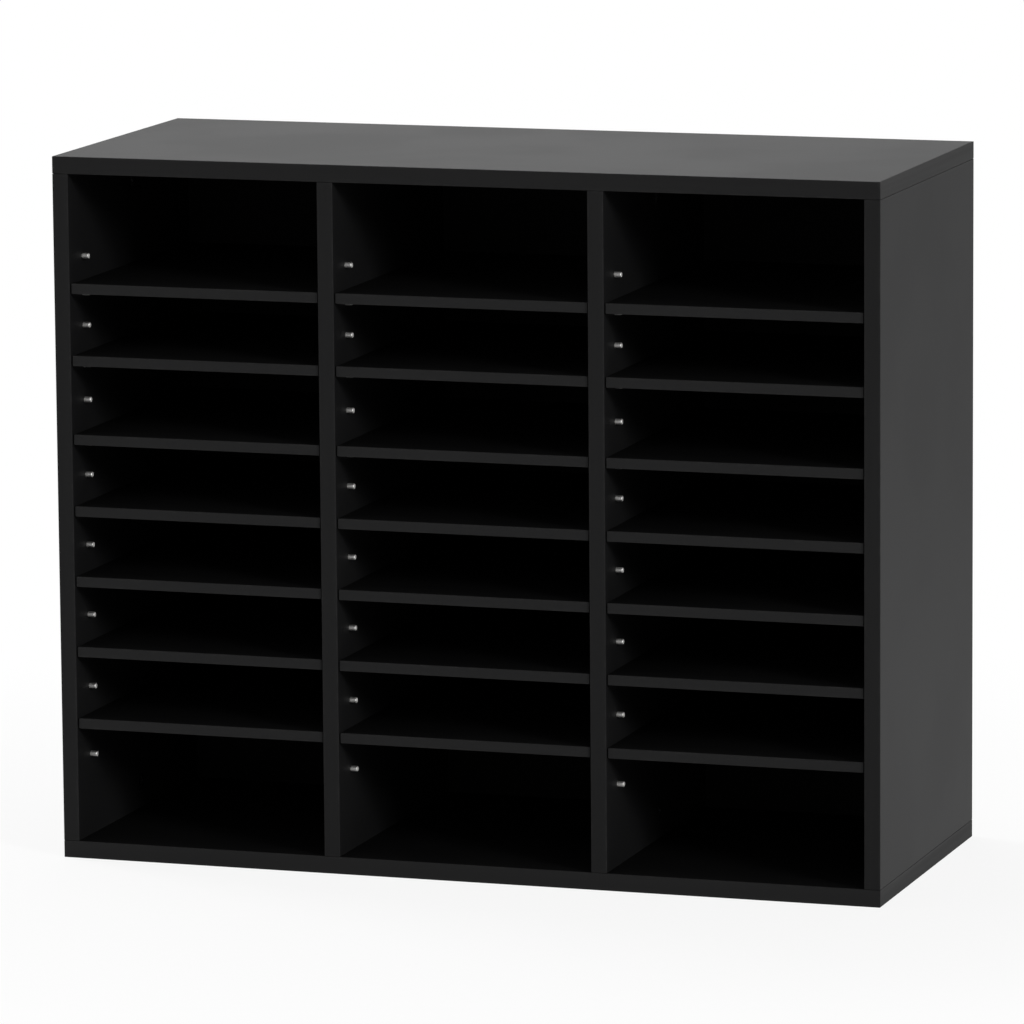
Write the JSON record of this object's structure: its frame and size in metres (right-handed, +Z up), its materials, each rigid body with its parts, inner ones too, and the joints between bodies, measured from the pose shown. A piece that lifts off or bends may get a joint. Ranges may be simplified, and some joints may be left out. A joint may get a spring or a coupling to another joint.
{
  "type": "pigeonhole mail sorter",
  "caption": "Black board cabinet with columns of open pigeonholes on loose shelves over steel pins, for sorting mail and papers.",
  "frame": {"origin": "middle of the footprint, on the surface that the sorter stands on", "axes": "+X to the right seen from the front, +Y from the front to the back, +Z up"},
  "size_m": [0.74, 0.305, 0.617],
  "materials": {
    "board_laminate": "black melamine on particle board, fine-grained satin",
    "back_hardboard": "black painted hardboard, matt",
    "pin_steel": "nickel-plated steel, satin",
    "cam_zinc": "blackened zinc, satin"
  },
  "bodies": {
    "cabinet": {"top_panel": "board_laminate", "bottom_panel": "board_laminate", "left_side": "board_laminate", "left_divider": "board_laminate", "right_divider": "board_laminate", "right_side": "board_laminate", "back_panel": "back_hardboard", "spare_pin_left_side_1": "pin_steel", "spare_pin_left_side_2": "pin_steel", "spare_pin_left_side_3": "pin_steel", "spare_pin_left_side_4": "pin_steel", "spare_pin_left_side_5": "pin_steel", "spare_pin_left_side_6": "pin_steel", "spare_pin_left_side_7": "pin_steel", "spare_pin_left_side_8": "pin_steel", "spare_pin_left_divider_1": "pin_steel", "spare_pin_left_divider_2": "pin_steel", "spare_pin_left_divider_3": "pin_steel", "spare_pin_left_divider_4": "pin_steel", "spare_pin_left_divider_5": "pin_steel", "spare_pin_left_divider_6": "pin_steel", "spare_pin_left_divider_7": "pin_steel", "spare_pin_left_divider_8": "pin_steel", "spare_pin_right_divider_1": "pin_steel", "spare_pin_right_divider_2": "pin_steel", "spare_pin_right_divider_3": "pin_steel", "spare_pin_right_divider_4": "pin_steel", "spare_pin_right_divider_5": "pin_steel", "spare_pin_right_divider_6": "pin_steel", "spare_pin_right_divider_7": "pin_steel", "spare_pin_right_divider_8": "pin_steel", "cam_lock_left_side_bottom": "cam_zinc", "cam_lock_left_side_top": "cam_zinc", "cam_lock_left_divider_bottom": "cam_zinc", "cam_lock_left_divider_top": "cam_zinc", "cam_lock_right_divider_bottom": "cam_zinc", "cam_lock_right_divider_top": "cam_zinc", "cam_lock_right_side_bottom": "cam_zinc", "cam_lock_right_side_top": "cam_zinc"},
    "shelf_left_1": {"shelf_left_1": "board_laminate"},
    "shelf_left_2": {"shelf_left_2": "board_laminate"},
    "shelf_left_3": {"shelf_left_3": "board_laminate"},
    "shelf_left_4": {"shelf_left_4": "board_laminate"},
    "shelf_left_5": {"shelf_left_5": "board_laminate"},
    "shelf_left_6": {"shelf_left_6": "board_laminate"},
    "shelf_left_7": {"shelf_left_7": "board_laminate"},
    "shelf_centre_1": {"shelf_centre_1": "board_laminate"},
    "shelf_centre_2": {"shelf_centre_2": "board_laminate"},
    "shelf_centre_3": {"shelf_centre_3": "board_laminate"},
    "shelf_centre_4": {"shelf_centre_4": "board_laminate"},
    "shelf_centre_5": {"shelf_centre_5": "board_laminate"},
    "shelf_centre_6": {"shelf_centre_6": "board_laminate"},
    "shelf_centre_7": {"shelf_centre_7": "board_laminate"},
    "shelf_right_1": {"shelf_right_1": "board_laminate"},
    "shelf_right_2": {"shelf_right_2": "board_laminate"},
    "shelf_right_3": {"shelf_right_3": "board_laminate"},
    "shelf_right_4": {"shelf_right_4": "board_laminate"},
    "shelf_right_5": {"shelf_right_5": "board_laminate"},
    "shelf_right_6": {"shelf_right_6": "board_laminate"},
    "shelf_right_7": {"shelf_right_7": "board_laminate"}
  },
  "joints": [
    {"name": "shelf_left_1_slide", "type": "slide", "parent": "cabinet", "child": "shelf_left_1", "axis": [0, -1, 0], "range_m": [0, 0.3]},
    {"name": "shelf_left_2_slide", "type": "slide", "parent": "cabinet", "child": "shelf_left_2", "axis": [0, -1, 0], "range_m": [0, 0.3]},
    {"name": "shelf_left_3_slide", "type": "slide", "parent": "cabinet", "child": "shelf_left_3", "axis": [0, -1, 0], "range_m": [0, 0.3]},
    {"name": "shelf_left_4_slide", "type": "slide", "parent": "cabinet", "child": "shelf_left_4", "axis": [0, -1, 0], "range_m": [0, 0.3]},
    {"name": "shelf_left_5_slide", "type": "slide", "parent": "cabinet", "child": "shelf_left_5", "axis": [0, -1, 0], "range_m": [0, 0.3]},
    {"name": "shelf_left_6_slide", "type": "slide", "parent": "cabinet", "child": "shelf_left_6", "axis": [0, -1, 0], "range_m": [0, 0.3]},
    {"name": "shelf_left_7_slide", "type": "slide", "parent": "cabinet", "child": "shelf_left_7", "axis": [0, -1, 0], "range_m": [0, 0.3]},
    {"name": "shelf_centre_1_slide", "type": "slide", "parent": "cabinet", "child": "shelf_centre_1", "axis": [0, -1, 0], "range_m": [0, 0.3]},
    {"name": "shelf_centre_2_slide", "type": "slide", "parent": "cabinet", "child": "shelf_centre_2", "axis": [0, -1, 0], "range_m": [0, 0.3]},
    {"name": "shelf_centre_3_slide", "type": "slide", "parent": "cabinet", "child": "shelf_centre_3", "axis": [0, -1, 0], "range_m": [0, 0.3]},
    {"name": "shelf_centre_4_slide", "type": "slide", "parent": "cabinet", "child": "shelf_centre_4", "axis": [0, -1, 0], "range_m": [0, 0.3]},
    {"name": "shelf_centre_5_slide", "type": "slide", "parent": "cabinet", "child": "shelf_centre_5", "axis": [0, -1, 0], "range_m": [0, 0.3]},
    {"name": "shelf_centre_6_slide", "type": "slide", "parent": "cabinet", "child": "shelf_centre_6", "axis": [0, -1, 0], "range_m": [0, 0.3]},
    {"name": "shelf_centre_7_slide", "type": "slide", "parent": "cabinet", "child": "shelf_centre_7", "axis": [0, -1, 0], "range_m": [0, 0.3]},
    {"name": "shelf_right_1_slide", "type": "slide", "parent": "cabinet", "child": "shelf_right_1", "axis": [0, -1, 0], "range_m": [0, 0.3]},
    {"name": "shelf_right_2_slide", "type": "slide", "parent": "cabinet", "child": "shelf_right_2", "axis": [0, -1, 0], "range_m": [0, 0.3]},
    {"name": "shelf_right_3_slide", "type": "slide", "parent": "cabinet", "child": "shelf_right_3", "axis": [0, -1, 0], "range_m": [0, 0.3]},
    {"name": "shelf_right_4_slide", "type": "slide", "parent": "cabinet", "child": "shelf_right_4", "axis": [0, -1, 0], "range_m": [0, 0.3]},
    {"name": "shelf_right_5_slide", "type": "slide", "parent": "cabinet", "child": "shelf_right_5", "axis": [0, -1, 0], "range_m": [0, 0.3]},
    {"name": "shelf_right_6_slide", "type": "slide", "parent": "cabinet", "child": "shelf_right_6", "axis": [0, -1, 0], "range_m": [0, 0.3]},
    {"name": "shelf_right_7_slide", "type": "slide", "parent": "cabinet", "child": "shelf_right_7", "axis": [0, -1, 0], "range_m": [0, 0.3]}
  ]
}
